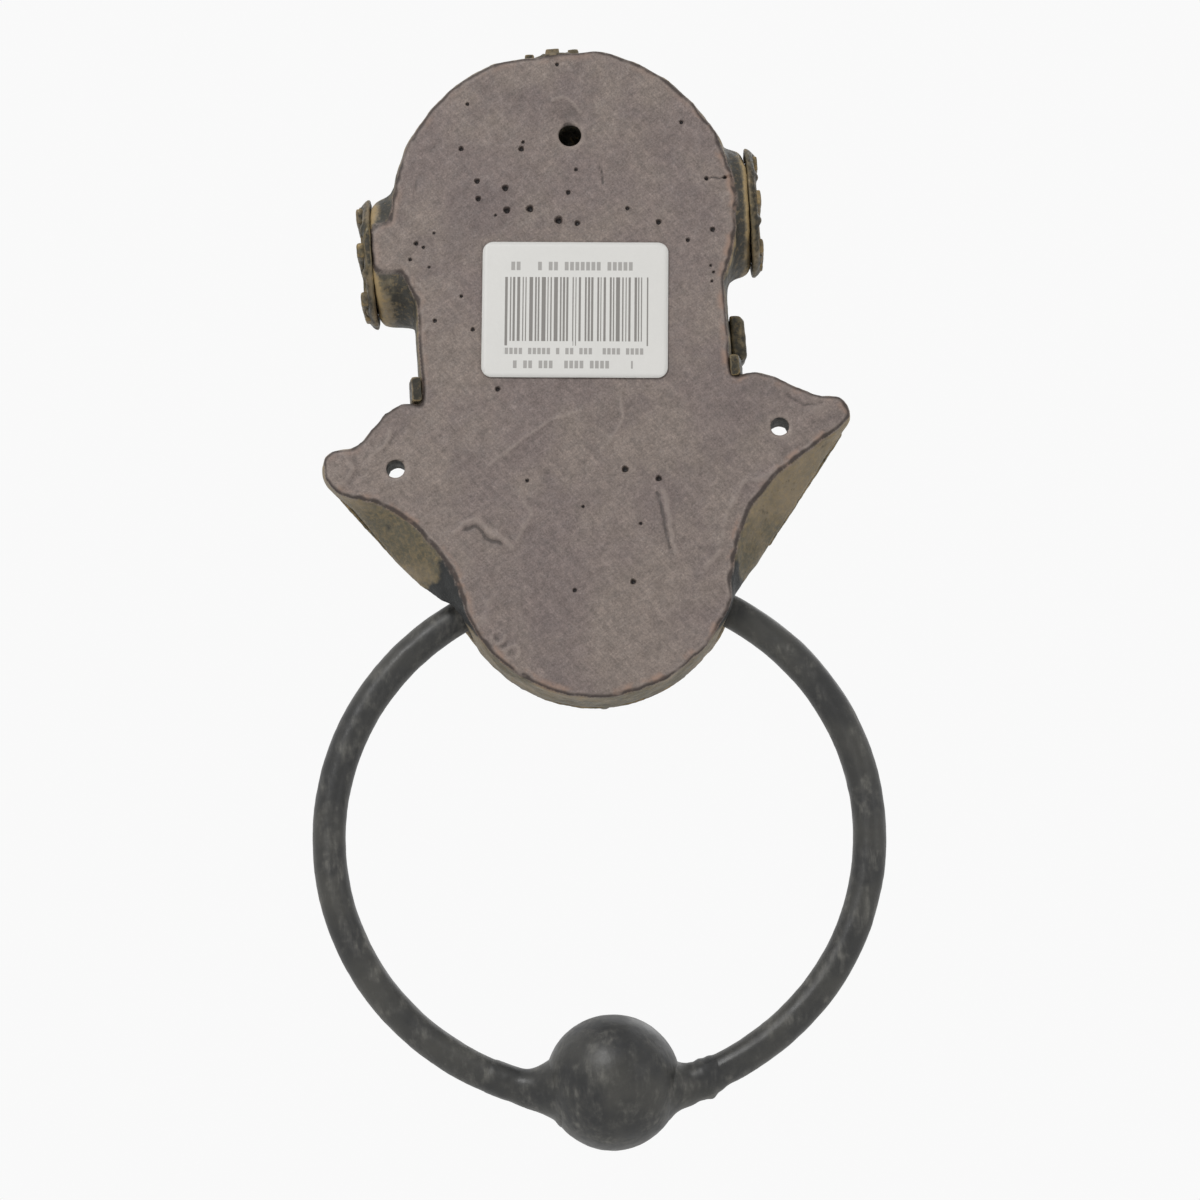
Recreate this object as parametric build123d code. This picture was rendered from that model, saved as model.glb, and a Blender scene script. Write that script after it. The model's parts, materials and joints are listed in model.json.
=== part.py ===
from build123d import *
import os
from math import asin, atan2, cos, degrees, hypot, radians, sin, sqrt

# A door knocker: a diver's helmet and corselet in relief, with a ring and a striker ball
# that hang from two pivots in the corselet's sides.
#
# Millimetres. The back face lies on y = 0 against the door, the relief stands out towards
# -Y, and +Z is up. z = 0 is at the foot of the corselet's wings, just below the ring's pivots.
# Left and right are as seen from the front, so right is +X. The object is hand modelled, so
# its two sides differ.

# ---------------------------------------------------------------- driving dimensions
# helmet
DOME_X = 0.7                  # centreline of the helmet
DOME_Z = 87.5                 # height of the dome's centre
DOME_BACK_R = 37.2            # radius of the dome on the back face
DOME_SINK = 8.0               # the dome's centre is this far in front of the back face
DOME_R = hypot(DOME_BACK_R, DOME_SINK)
DOME_FLAT_OUT = 35.8          # the dome's top is slightly flattened, this far from its centre
DOME_FLAT_TURN = 2.0          # degrees, so the flat faces a little to the right
NECK_R = 34.0
NECK_BOTTOM = 46.0
NECK_TOP = 78.0

# neck ring and its lugs
COLLAR_R = 36.0
COLLAR_BOTTOM = 48.0
COLLAR_HEIGHT = 5.5
LUG_REACH = 37.2              # radius to the lugs' outer faces
LUG_WIDTH = 8.0
LUG_HEIGHT = 10.0
LUG_ROOT = 20.0               # radius inside the neck from which a lug's block starts
LUG_CHAMFER = 1.0
LUG_ANGLES = (3, 48, 90, 130, 148)   # degrees round the front, from the left side

# corselet, as (x, z) on the back face and on the plane where its flared walls end
FLARE_DEPTH = 9.0
RELIEF_DEPTH = 56.0
RIGHT_SHOULDER = ((34.3, 47.4), (43.8, 44.0), (50.0, 38.9), (52.8, 38.7), (55.9, 34.0))
RIGHT_FLANK = ((55.9, 34.0), (52.1, 28.6), (44.8, 26.4), (37.7, 21.7), (31.2, 13.4), (27.3, 1.0))
LEFT_SHOULDER = ((-33.8, 48.9), (-41.8, 48.3), (-51.5, 43.3), (-54.8, 42.8), (-57.4, 37.9))
LEFT_FLANK = ((-57.4, 37.9), (-54.0, 35.4), (-43.6, 28.9), (-36.0, 22.2), (-31.4, 13.4), (-29.3, 1.0))
RIGHT_TIP_FRONT = (57.2, 33.6)
LEFT_TIP_FRONT = (-57.9, 37.8)
RIGHT_HEEL_FRONT = (33.2, 4.0)      # the flanks run straight towards these, then turn in
LEFT_HEEL_FRONT = (-31.6, 3.8)
TURN_IN = 4.5                 # distance before the heel at which they turn
RIGHT_WAIST_FRONT = (28.8, 0.8)
LEFT_WAIST_FRONT = (-29.9, 0.8)
TONGUE_BOTTOM = (0.5, -18.9)
PLATE_DEPTH = 17.0            # thickness of the wing plate on the centreline
PLATE_R = 173.0               # radius of the wing plate's front
PLATE_SPAN = (-40.0, 60.0)    # heights between which the plate's cylinder is made
CHEST_TOP = (35.0, 48.0)      # radius and height of the chest's profile round the neck axis
CHEST_MIDDLE = (31.8, 14.0)
CHEST_END = (8.0, -14.5)

# brails, the clamping straps along the corselet's lower edges, and their wing nuts
BRAIL_INSET = 0.6
BRAIL_WIDTH = 4.6
BRAIL_THICKNESS = 1.8
BRAIL_START = 2.5             # from the wing tip, down the flank
BRAIL_STOP = 12.0             # before the heel
FLANK_NUTS = (0.16, 0.45)            # fractions of the way from the wing tip to the heel
BOTTOM_NUTS = (-125, -90, -55)       # degrees round the tongue
NUT_R = 1.9
NUT_HEIGHT = 3.8
NUT_SEAT_DEPTH = 0.6          # a nut starts this far below the strap's surface, then is trimmed
WING_SPAN = 7.0
WING_WIDTH = 1.5
WING_HEIGHT = 2.8
WING_RISE = 2.6               # from the nut's seat to the underside of its wings

# screw holes in the wings and the hanging hole in the back of the dome
SCREW_R = 2.0
SCREW_SEAT_R = 4.0
SCREW_SEAT_DEPTH = 9.0        # from the back face to the seat under the screw's head
RIGHT_SCREW = (40.4, 33.6)
LEFT_SCREW = (-42.1, 37.0)
HANGING_HOLE = (-1.7, 104.8)
HANGING_R = 2.5
HANGING_DEPTH = 10.0

# windows: each is a boss on the casting, with a frame, a pane and a guard on its flat seat
PANE_THICKNESS = 1.1
PANE_MARGIN = 1.2             # the frame's lip covers this much of the pane
WINDOW_CHAMFER = 0.9
FRAME_HEIGHT = 2.6            # of the front and top windows' frames
SIDE_FRAME_HEIGHT = 1.7
BOSS_DEPTH = 14.0
SIDE_WINDOW_R = 14.2
SIDE_OPENING_R = 9.8
SIDE_BAR_WIDTH = 3.3
BAR_SPACING = 9.3             # of the side and front windows' bars
RIGHT_WINDOW_SEAT = (42.7, 13.6, 82.5)    # x of the seat, depth and height of the axis
LEFT_WINDOW_SEAT = (-39.4, 15.5, 88.8)
FRONT_WINDOW_R = 15.5
FRONT_OPENING_R = 11.0
FRONT_WINDOW_SEAT = 46.7
FRONT_WINDOW_Z = 86.0
TOP_WINDOW_R = 10.5
TOP_OPENING_R = 7.4
TOP_WINDOW_X = 0.2
TOP_WINDOW_TILT = 24.0        # degrees forward of straight up
TOP_WINDOW_SEAT = 38.4        # from the dome's centre
TOP_BARS = ((-5.8, 2.2, 3.4), (-0.7, 3.2, 2.0), (3.9, 2.6, 2.6))   # offset, width, thickness
GUARD_MARGIN = 0.3            # from the bars' ends to the frame's chamfer
CROSS_BAR_SHARE = 0.7         # the cross bar's thickness, as a share of the thinnest bar's

# fittings on the dome beside the front window: a hinge on its left and a clamp on its right
FITTING_OVERLAP = 2.0         # a block starts this far inside the window's frame, then is trimmed
FITTING_SINK = 10.0           # and this far behind the window's seat
FITTING_LENGTH = 7.5
HINGE_WIDTH = 11.0
HINGE_HEIGHT = 11.0
HINGE_BARREL_R = 2.3
HINGE_BARREL_LENGTH = 13.0
HINGE_BARREL_OUT = 2.8        # from the window frame's edge to the barrel's axis
HINGE_BARREL_RISE = 1.0
CLAMP_WIDTH = 8.0
CLAMP_HEIGHT = 9.0
CLAMP_NUT_OUT = 2.6           # from the window frame's edge to the nut's axis
CLAMP_NUT_SINK = 2.4

# pivots: their axis is parallel to the back face and slightly tilted, as cast
PIVOT_X = -0.15               # the ring hangs a little off the centreline
PIVOT_DEPTH = 14.5
PIVOT_HEIGHT = 2.7
PIVOT_TILT = 3.07             # degrees, the right end is the higher one
PIVOT_BOSS_R = 10.5
PIVOT_BOSS_END = 30.0
SOCKET_R = 5.5
SOCKET_END = 13.0             # from the centreline to the blind end of each socket
SOCKET_OUTSIDE = 45.0         # from the centreline to a place outside the casting's wall
MOUTH_R = 7.5                 # the wide mouth leaves room for the ring's bend to swing forward
MOUTH_START = 25.0
MOUTH_BACK = 3.0              # above the axis, the mouth reaches only this far behind it
BUSH_OUTER_END = 24.0
RUNNING_CLEARANCE = 0.05

# ring, in the pivots' own frame: an oval of four tangent arcs
ROD_R = 3.6
SPIGOT_END = 13.6
BEND_R = 8.0
RING_HALF_WIDTH = 57.6
RING_HALF_HEIGHT = 55.7
RING_DROP = 49.0              # from the pivot axis to the oval's centre

# striker ball and its collars
BALL_R = 14.3
BALL_X = -2.1
BALL_DROP = 101.5
COLLAR_START = 11.5           # from the ball's centre along the rod
TAPER_LENGTH = 11.0
TAPER_ROOT_R = 7.0
TAPER_TIP_R = 4.2
FERRULE_LENGTH = 11.5
FERRULE_R = 4.9
FERRULE_CHAMFER = 0.8
WELD_R = 6.6
WELD_LENGTH = 5.5
WELD_CHAMFER = 1.2

# paper label on the back
LABEL_WIDTH = 40.0
LABEL_HEIGHT = 30.0
LABEL_THICKNESS = 0.2
LABEL_CORNER_R = 2.3
LABEL_X = -0.2
LABEL_Z = 65.7
LABEL_TURN = 4.4              # degrees

BIG = 400.0
STANDING = (Align.CENTER, Align.CENTER, Align.MIN)
BESIDE = (Align.MIN, Align.CENTER, Align.MIN)


# ---------------------------------------------------------------- helpers
def at_depth(points, depth):
    return [(x, -depth, z) for x, z in points]


def z_cylinder(radius, bottom, top, x, y):
    return Pos(x, y, bottom) * standing(radius, top - bottom)


def standing(radius, height):
    return Cylinder(radius, height, align=STANDING)


def chamfered(shape, size):
    """The shape with a chamfer round its upper edge."""
    return chamfer(shape.edges().group_by(Axis.Z)[-1], size)


def bore(place, radius, start, end):
    x, z = place
    front = Plane(origin=(x, -start, z), x_dir=(1, 0, 0), z_dir=(0, -1, 0))
    return front * standing(radius, end - start)


def behind():
    return Pos(0, BIG / 2, 0) * Box(BIG, BIG, BIG)


def biggest(shape):
    return max(shape.solids(), key=lambda solid: solid.volume)


# ---------------------------------------------------------------- corselet
def on_flank(tip, heel, down, across):
    """The place this far down the wing's front edge and this far inside it."""
    length = hypot(heel[0] - tip[0], heel[1] - tip[1])
    step = ((heel[0] - tip[0]) / length, (heel[1] - tip[1]) / length)
    side = 1 if tip[0] > 0 else -1
    inwards = (side * step[1], -side * step[0])
    return (tip[0] + down * step[0] + across * inwards[0], tip[1] + down * step[1] + across * inwards[1])


def corselet_face(depth, shoulder_right, flank_right, flank_left, shoulder_left):
    """A closed outline of six edges, in the same order at every depth."""
    bottom = (TONGUE_BOTTOM[0], -depth, TONGUE_BOTTOM[1])
    tongue = ThreePointArc(flank_right @ 1, bottom, flank_left @ 1)
    top = Line(shoulder_left @ 0, shoulder_right @ 0)
    edges = [shoulder_right, flank_right, tongue, flank_left, shoulder_left, top]
    return Face(Wire([edge.edge() for edge in edges]))


def corselet_back():
    return corselet_face(
        0,
        Spline(*at_depth(RIGHT_SHOULDER, 0)),
        Spline(*at_depth(RIGHT_FLANK, 0)),
        Spline(*at_depth(LEFT_FLANK, 0)),
        Spline(*at_depth(LEFT_SHOULDER, 0)),
    )


def front_flank(tip, heel, waist):
    """A wing's front edge: straight down the flank, then round to the waist."""
    length = hypot(heel[0] - tip[0], heel[1] - tip[1])
    middle = on_flank(tip, heel, length / 2, 0)
    turn = on_flank(tip, heel, length - TURN_IN, 0)
    return Spline(*at_depth((tip, middle, turn, waist), FLARE_DEPTH))


def corselet_front():
    right_shoulder = RIGHT_SHOULDER[:-1] + (RIGHT_TIP_FRONT,)
    left_shoulder = LEFT_SHOULDER[:-1] + (LEFT_TIP_FRONT,)
    return corselet_face(
        FLARE_DEPTH,
        Spline(*at_depth(right_shoulder, FLARE_DEPTH)),
        front_flank(RIGHT_TIP_FRONT, RIGHT_HEEL_FRONT, RIGHT_WAIST_FRONT),
        front_flank(LEFT_TIP_FRONT, LEFT_HEEL_FRONT, LEFT_WAIST_FRONT),
        Spline(*at_depth(left_shoulder, FLARE_DEPTH)),
    )


def corselet_walls():
    """Everything inside the corselet's outline, from the back face to the front."""
    front = corselet_front()
    flared = loft([corselet_back(), front], ruled=True)
    straight = extrude(front, amount=RELIEF_DEPTH - FLARE_DEPTH, dir=(0, -1, 0))
    return flared + straight


def plate_cylinder(extra=0.0):
    return z_cylinder(PLATE_R + extra, *PLATE_SPAN, 0, PLATE_R - PLATE_DEPTH)


def chest():
    curve = ThreePointArc(
        (CHEST_TOP[0], 0, CHEST_TOP[1]),
        (CHEST_MIDDLE[0], 0, CHEST_MIDDLE[1]),
        (CHEST_END[0], 0, CHEST_END[1]),
    )
    outline = [
        Line((0, 0, CHEST_TOP[1]), curve @ 0),
        curve,
        Line(curve @ 1, (0, 0, CHEST_END[1])),
        Line((0, 0, CHEST_END[1]), (0, 0, CHEST_TOP[1])),
    ]
    profile = Face(Wire([edge.edge() for edge in outline]))
    return Pos(DOME_X, -DOME_SINK, 0) * revolve(profile, Axis.Z, 360)


# ---------------------------------------------------------------- pivots
PIVOT = Location((PIVOT_X, -PIVOT_DEPTH, PIVOT_HEIGHT), (0, -PIVOT_TILT, 0))


def along_x(radius, start, end):
    """A cylinder on the pivots' axis, from start to end, either side of the centreline."""
    sign = 1 if end > start else -1
    plane = Plane(origin=(start, 0, 0), x_dir=(0, 0, 1), z_dir=(sign, 0, 0))
    return plane * standing(radius, abs(end - start))


def upper_back():
    """The space above and well behind the pivots' axis, which the ring never reaches."""
    return Pos(0, MOUTH_BACK + BIG / 2, BIG / 2) * Box(BIG, BIG, BIG)


def pivot_bush(sign):
    bush = along_x(SOCKET_R, sign * SOCKET_END, sign * BUSH_OUTER_END)
    hole = along_x(ROD_R + RUNNING_CLEARANCE, sign * SOCKET_END, sign * BUSH_OUTER_END)
    return PIVOT * (bush - hole)


# ---------------------------------------------------------------- ring and ball
# The arcs meet at 45 degrees, which fixes how far their centres are from the oval's.
OVAL_SHIFT = (RING_HALF_WIDTH - RING_HALF_HEIGHT) / (2 - sqrt(2))
OVAL_SIDE_R = RING_HALF_WIDTH - OVAL_SHIFT
OVAL_END_R = RING_HALF_HEIGHT + OVAL_SHIFT
UPPER_CENTRE = (0, -RING_DROP - OVAL_SHIFT)
LOWER_CENTRE = (0, -RING_DROP + OVAL_SHIFT)


def on_arc(centre, radius, angle):
    return (centre[0] + radius * cos(radians(angle)), 0, centre[1] + radius * sin(radians(angle)))


def arc(centre, radius, start, end):
    middle = (start + end) / 2
    places = [on_arc(centre, radius, angle) for angle in (start, middle, end)]
    return ThreePointArc(*places)


def ring_path():
    bend_x = sqrt((OVAL_END_R - BEND_R) ** 2 - (UPPER_CENTRE[1] + BEND_R) ** 2)
    bend_end = degrees(asin((-BEND_R - UPPER_CENTRE[1]) / (OVAL_END_R - BEND_R)))
    right = [
        Line((SPIGOT_END, 0, 0), (bend_x, 0, 0)),
        arc((bend_x, -BEND_R), BEND_R, 90, bend_end),
        arc(UPPER_CENTRE, OVAL_END_R, bend_end, 45),
        arc((OVAL_SHIFT, -RING_DROP), OVAL_SIDE_R, 45, -45),
    ]
    left = [
        arc((-OVAL_SHIFT, -RING_DROP), OVAL_SIDE_R, 225, 135),
        arc(UPPER_CENTRE, OVAL_END_R, 135, 180 - bend_end),
        arc((-bend_x, -BEND_R), BEND_R, 180 - bend_end, 90),
        Line((-bend_x, 0, 0), (-SPIGOT_END, 0, 0)),
    ]
    bottom = arc(LOWER_CENTRE, OVAL_END_R, -45, -135)
    return Wire([edge.edge() for edge in right + [bottom] + left])


def ring_rod():
    section = Plane(origin=(SPIGOT_END, 0, 0), z_dir=(1, 0, 0)) * Circle(ROD_R)
    return sweep(section, path=ring_path())


def ball_sphere():
    return Pos(BALL_X, 0, -BALL_DROP) * Sphere(BALL_R)


def rod_plane(sign):
    """A plane across the rod beside the ball, facing away from it."""
    along = COLLAR_START + sign * BALL_X
    turn = along / OVAL_END_R
    origin = (sign * OVAL_END_R * sin(turn), 0, LOWER_CENTRE[1] - OVAL_END_R * cos(turn))
    return Plane(origin=origin, x_dir=(0, 1, 0), z_dir=(sign * cos(turn), 0, sin(turn)))


def tapered_collar(rod):
    cone = Cone(TAPER_ROOT_R, TAPER_TIP_R, TAPER_LENGTH, align=STANDING)
    return biggest(rod_plane(1) * cone - ball_sphere() - rod)


def stepped_collar(rod):
    weld = chamfered(standing(WELD_R, WELD_LENGTH), WELD_CHAMFER)
    ferrule = chamfered(standing(FERRULE_R, FERRULE_LENGTH), FERRULE_CHAMFER)
    return biggest(rod_plane(-1) * (weld + ferrule) - ball_sphere() - rod)


# ---------------------------------------------------------------- windows
# Each window has its own plane on its seat: local z points out of the helmet, and the
# guard's bars run along local x.
RIGHT_WINDOW = Plane(
    origin=(RIGHT_WINDOW_SEAT[0], -RIGHT_WINDOW_SEAT[1], RIGHT_WINDOW_SEAT[2]),
    x_dir=(0, 1, 0),
    z_dir=(1, 0, 0),
)
LEFT_WINDOW = Plane(
    origin=(LEFT_WINDOW_SEAT[0], -LEFT_WINDOW_SEAT[1], LEFT_WINDOW_SEAT[2]),
    x_dir=(0, -1, 0),
    z_dir=(-1, 0, 0),
)
FRONT_WINDOW = Plane(
    origin=(DOME_X, -FRONT_WINDOW_SEAT, FRONT_WINDOW_Z),
    x_dir=(1, 0, 0),
    z_dir=(0, -1, 0),
)
TOP_SIN = sin(radians(TOP_WINDOW_TILT))
TOP_COS = cos(radians(TOP_WINDOW_TILT))
TOP_WINDOW = Plane(
    origin=(TOP_WINDOW_X, -DOME_SINK - TOP_WINDOW_SEAT * TOP_SIN, DOME_Z + TOP_WINDOW_SEAT * TOP_COS),
    x_dir=(0, TOP_COS, TOP_SIN),
    z_dir=(0, -TOP_SIN, TOP_COS),
)


def window_boss(seat, radius):
    return seat * (Pos(0, 0, -BOSS_DEPTH) * standing(radius, BOSS_DEPTH))


def window_frame(seat, radius, opening, height=FRAME_HEIGHT):
    ring = chamfered(standing(radius, height), WINDOW_CHAMFER)
    rebate = standing(opening + PANE_MARGIN, PANE_THICKNESS)
    return seat * (ring - rebate - standing(opening, height)) - behind()


def window_pane(seat, opening):
    return seat * standing(opening + PANE_MARGIN, PANE_THICKNESS)


def window_guard(seat, radius, bars, cross_width, foot=FRAME_HEIGHT):
    """Bars given as (offset, width, thickness), tied together by one thinner cross bar."""
    reach = radius - WINDOW_CHAMFER - GUARD_MARGIN
    cross_thickness = CROSS_BAR_SHARE * min(thickness for offset, width, thickness in bars)
    guard = Pos(0, 0, foot) * Box(cross_width, 2 * reach, cross_thickness, align=STANDING)
    for offset, width, thickness in bars:
        outer = abs(offset) + width / 2
        length = 2 * sqrt(reach**2 - outer**2)
        guard += Pos(0, offset, foot) * Box(length, width, thickness, align=STANDING)
    return seat * guard


def even_bars(width, thickness):
    return [(row * BAR_SPACING, width, thickness) for row in (-1, 0, 1)]


def side_window_frame(seat):
    return window_frame(seat, SIDE_WINDOW_R, SIDE_OPENING_R, SIDE_FRAME_HEIGHT)


def side_window_guard(seat, thickness):
    bars = even_bars(SIDE_BAR_WIDTH, thickness)
    return window_guard(seat, SIDE_WINDOW_R, bars, SIDE_BAR_WIDTH, SIDE_FRAME_HEIGHT)


# ---------------------------------------------------------------- body casting
def dome():
    turn = radians(DOME_FLAT_TURN)
    middle = (DOME_X, -DOME_SINK, DOME_Z)
    top = (DOME_X + DOME_FLAT_OUT * sin(turn), -DOME_SINK, DOME_Z + DOME_FLAT_OUT * cos(turn))
    above = Plane(origin=top, x_dir=(0, 1, 0), z_dir=(sin(turn), 0, cos(turn)))
    return Pos(*middle) * Sphere(DOME_R) - above * Box(BIG, BIG, BIG, align=STANDING)


def body_casting():
    walls = corselet_walls()
    bosses = PIVOT * (along_x(PIVOT_BOSS_R, 0, PIVOT_BOSS_END) + along_x(PIVOT_BOSS_R, 0, -PIVOT_BOSS_END))
    body = dome()
    body += z_cylinder(NECK_R, NECK_BOTTOM, NECK_TOP, DOME_X, -DOME_SINK)
    body += walls & plate_cylinder()
    body += walls & chest()
    body += walls & bosses
    body += window_boss(RIGHT_WINDOW, SIDE_WINDOW_R)
    body += window_boss(LEFT_WINDOW, SIDE_WINDOW_R)
    body += window_boss(FRONT_WINDOW, FRONT_WINDOW_R)
    body += window_boss(TOP_WINDOW, TOP_WINDOW_R)
    body -= behind()
    for place in (RIGHT_SCREW, LEFT_SCREW):
        body -= bore(place, SCREW_R, -1, SCREW_SEAT_DEPTH)
        body -= bore(place, SCREW_SEAT_R, SCREW_SEAT_DEPTH, RELIEF_DEPTH)
    body -= bore(HANGING_HOLE, HANGING_R, -1, HANGING_DEPTH)
    for sign in (1, -1):
        body -= PIVOT * along_x(SOCKET_R, sign * SOCKET_END, sign * SOCKET_OUTSIDE)
        body -= PIVOT * (along_x(MOUTH_R, sign * MOUTH_START, sign * SOCKET_OUTSIDE) - upper_back())
    body -= label()
    return biggest(body)


def neck_ring(body):
    top = COLLAR_BOTTOM + COLLAR_HEIGHT
    ring = z_cylinder(COLLAR_R, COLLAR_BOTTOM, top, DOME_X, -DOME_SINK)
    return biggest(ring - body - z_cylinder(NECK_R, 0, BIG, DOME_X, -DOME_SINK) - behind())


def neck_lugs():
    """The clamping lugs that stand on the neck ring, as one group."""
    bottom = COLLAR_BOTTOM + COLLAR_HEIGHT
    lugs = []
    for angle in LUG_ANGLES:
        turned = Location((DOME_X, -DOME_SINK, bottom), (0, 0, 180 + angle))
        block = Pos(LUG_ROOT, 0, 0) * Box(LUG_REACH - LUG_ROOT, LUG_WIDTH, LUG_HEIGHT, align=BESIDE)
        block = chamfer(block.edges().group_by(Axis.X)[-1], LUG_CHAMFER)
        lug = turned * block - z_cylinder(NECK_R, 0, BIG, DOME_X, -DOME_SINK) - behind()
        lugs.append(biggest(lug))
    return Compound(children=lugs)


# ---------------------------------------------------------------- brails
def strap(outline, body):
    """The part of an outline, seen from the front, that lies on the corselet's plate."""
    band = extrude(outline, amount=RELIEF_DEPTH, dir=(0, -1, 0))
    return biggest((band & plate_cylinder(BRAIL_THICKNESS)) - plate_cylinder() - body)


def flank_brail(tip, heel, body):
    stop = hypot(heel[0] - tip[0], heel[1] - tip[1]) - BRAIL_STOP
    inner = BRAIL_INSET + BRAIL_WIDTH
    places = ((BRAIL_START, BRAIL_INSET), (stop, BRAIL_INSET), (stop, inner), (BRAIL_START, inner))
    corners = [on_flank(tip, heel, down, across) for down, across in places]
    return strap(Face(Wire.make_polygon(at_depth(corners, 0))), body)


def tongue_circle():
    edge = ThreePointArc(*at_depth((RIGHT_WAIST_FRONT, TONGUE_BOTTOM, LEFT_WAIST_FRONT), 0)).edge()
    return edge.arc_center, edge.radius


def bottom_brail(body):
    centre, radius = tongue_circle()
    outer = radius - BRAIL_INSET
    band = Plane.XZ * Pos(centre.X, centre.Z) * (Circle(outer) - Circle(outer - BRAIL_WIDTH))
    bosses_foot = PIVOT_HEIGHT - PIVOT_BOSS_R
    below_bosses = Pos(0, 0, bosses_foot - BIG / 2) * Box(BIG, BIG, BIG)
    return biggest(strap(band, body) & below_bosses)


def wing_nut():
    """A domed nut with two wings, its wings along local x and its stud along local z."""
    nut = standing(NUT_R, NUT_HEIGHT) + Pos(0, 0, NUT_HEIGHT) * Sphere(NUT_R)
    return nut + Pos(0, 0, WING_RISE) * Box(WING_SPAN, WING_WIDTH, WING_HEIGHT, align=STANDING)


def nut_on_brail(x, z, turn, body):
    surface = PLATE_R + BRAIL_THICKNESS
    depth = sqrt(surface**2 - x**2) - (PLATE_R - PLATE_DEPTH)
    wings = (cos(radians(turn)), 0, sin(radians(turn)))
    seat = Plane(origin=(x, NUT_SEAT_DEPTH - depth, z), x_dir=wings, z_dir=(0, -1, 0))
    return biggest(seat * wing_nut() - plate_cylinder(BRAIL_THICKNESS) - body)


def brail_nuts(body):
    middle = BRAIL_INSET + BRAIL_WIDTH / 2
    nuts = []
    for tip, heel in ((RIGHT_TIP_FRONT, RIGHT_HEEL_FRONT), (LEFT_TIP_FRONT, LEFT_HEEL_FRONT)):
        length = hypot(heel[0] - tip[0], heel[1] - tip[1])
        slope = degrees(atan2(heel[1] - tip[1], heel[0] - tip[0]))
        for place in FLANK_NUTS:
            x, z = on_flank(tip, heel, place * length, middle)
            nuts.append(nut_on_brail(x, z, slope, body))
    centre, radius = tongue_circle()
    for angle in BOTTOM_NUTS:
        x = centre.X + (radius - middle) * cos(radians(angle))
        z = centre.Z + (radius - middle) * sin(radians(angle))
        nuts.append(nut_on_brail(x, z, angle + 90, body))
    return Compound(children=nuts)


# ---------------------------------------------------------------- front window's fittings
def beside_front_window(sign, fitting, body):
    """Set a fitting on the dome to the right (+1) or left (-1) of the front window."""
    turned = FRONT_WINDOW * Rot(0, 0, 0 if sign > 0 else 180)
    frame = FRONT_WINDOW * standing(FRONT_WINDOW_R, FRAME_HEIGHT)
    return biggest(turned * fitting - body - frame)


def fitting_block(width, height):
    block = Box(FITTING_LENGTH, width, height, align=BESIDE)
    return Pos(FRONT_WINDOW_R - FITTING_OVERLAP, 0, -FITTING_SINK) * block


def hinge_block():
    barrel = Cylinder(HINGE_BARREL_R, HINGE_BARREL_LENGTH, rotation=(90, 0, 0))
    barrel = Pos(FRONT_WINDOW_R + HINGE_BARREL_OUT, 0, HINGE_BARREL_RISE) * barrel
    return fitting_block(HINGE_WIDTH, HINGE_HEIGHT) + barrel


def clamp_block():
    nut = Pos(FRONT_WINDOW_R + CLAMP_NUT_OUT, 0, -CLAMP_NUT_SINK) * wing_nut()
    return fitting_block(CLAMP_WIDTH, CLAMP_HEIGHT) + nut


# ---------------------------------------------------------------- label
def label():
    outline = fillet(Rectangle(LABEL_WIDTH, LABEL_HEIGHT).vertices(), LABEL_CORNER_R)
    placed = Plane.XZ * Pos(LABEL_X, LABEL_Z) * Rot(0, 0, LABEL_TURN) * outline
    return extrude(placed, amount=LABEL_THICKNESS, dir=(0, -1, 0))


# ---------------------------------------------------------------- write every piece
def main():
    body = body_casting()
    rod = ring_rod()
    pieces = {
        "body_casting": body,
        "neck_ring": neck_ring(body),
        "neck_lugs": neck_lugs(),
        "right_brail": flank_brail(RIGHT_TIP_FRONT, RIGHT_HEEL_FRONT, body),
        "left_brail": flank_brail(LEFT_TIP_FRONT, LEFT_HEEL_FRONT, body),
        "bottom_brail": bottom_brail(body),
        "brail_wing_nuts": brail_nuts(body),
        "right_window_frame": side_window_frame(RIGHT_WINDOW),
        "right_window_pane": window_pane(RIGHT_WINDOW, SIDE_OPENING_R),
        "right_window_guard": side_window_guard(RIGHT_WINDOW, 1.6),
        "left_window_frame": side_window_frame(LEFT_WINDOW),
        "left_window_pane": window_pane(LEFT_WINDOW, SIDE_OPENING_R),
        "left_window_guard": side_window_guard(LEFT_WINDOW, 1.0),
        "front_window_frame": window_frame(FRONT_WINDOW, FRONT_WINDOW_R, FRONT_OPENING_R),
        "front_window_pane": window_pane(FRONT_WINDOW, FRONT_OPENING_R),
        "front_window_guard": window_guard(FRONT_WINDOW, FRONT_WINDOW_R, even_bars(2.8, 2.7), 2.8),
        "front_window_hinge": beside_front_window(-1, hinge_block(), body),
        "front_window_clamp": beside_front_window(1, clamp_block(), body),
        "top_window_frame": window_frame(TOP_WINDOW, TOP_WINDOW_R, TOP_OPENING_R),
        "top_window_pane": window_pane(TOP_WINDOW, TOP_OPENING_R),
        "top_window_guard": window_guard(TOP_WINDOW, TOP_WINDOW_R, TOP_BARS, 2.2),
        "right_pivot_bush": pivot_bush(1),
        "left_pivot_bush": pivot_bush(-1),
        "ring_rod": PIVOT * rod,
        "striker_ball": PIVOT * (ball_sphere() - rod),
        "tapered_collar": PIVOT * tapered_collar(rod),
        "stepped_collar": PIVOT * stepped_collar(rod),
        "barcode_label": label(),
    }
    os.makedirs("parts", exist_ok=True)
    for name, piece in pieces.items():
        export_step(piece, f"parts/{name}.step")
        print(name, len(piece.solids()), round(piece.volume, 1))


main()
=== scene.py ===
import json
from math import cos, pi, radians, sin, sqrt

import bmesh
import bpy
import numpy as np
from mathutils import Matrix, Vector, noise
from mathutils.kdtree import KDTree


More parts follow.
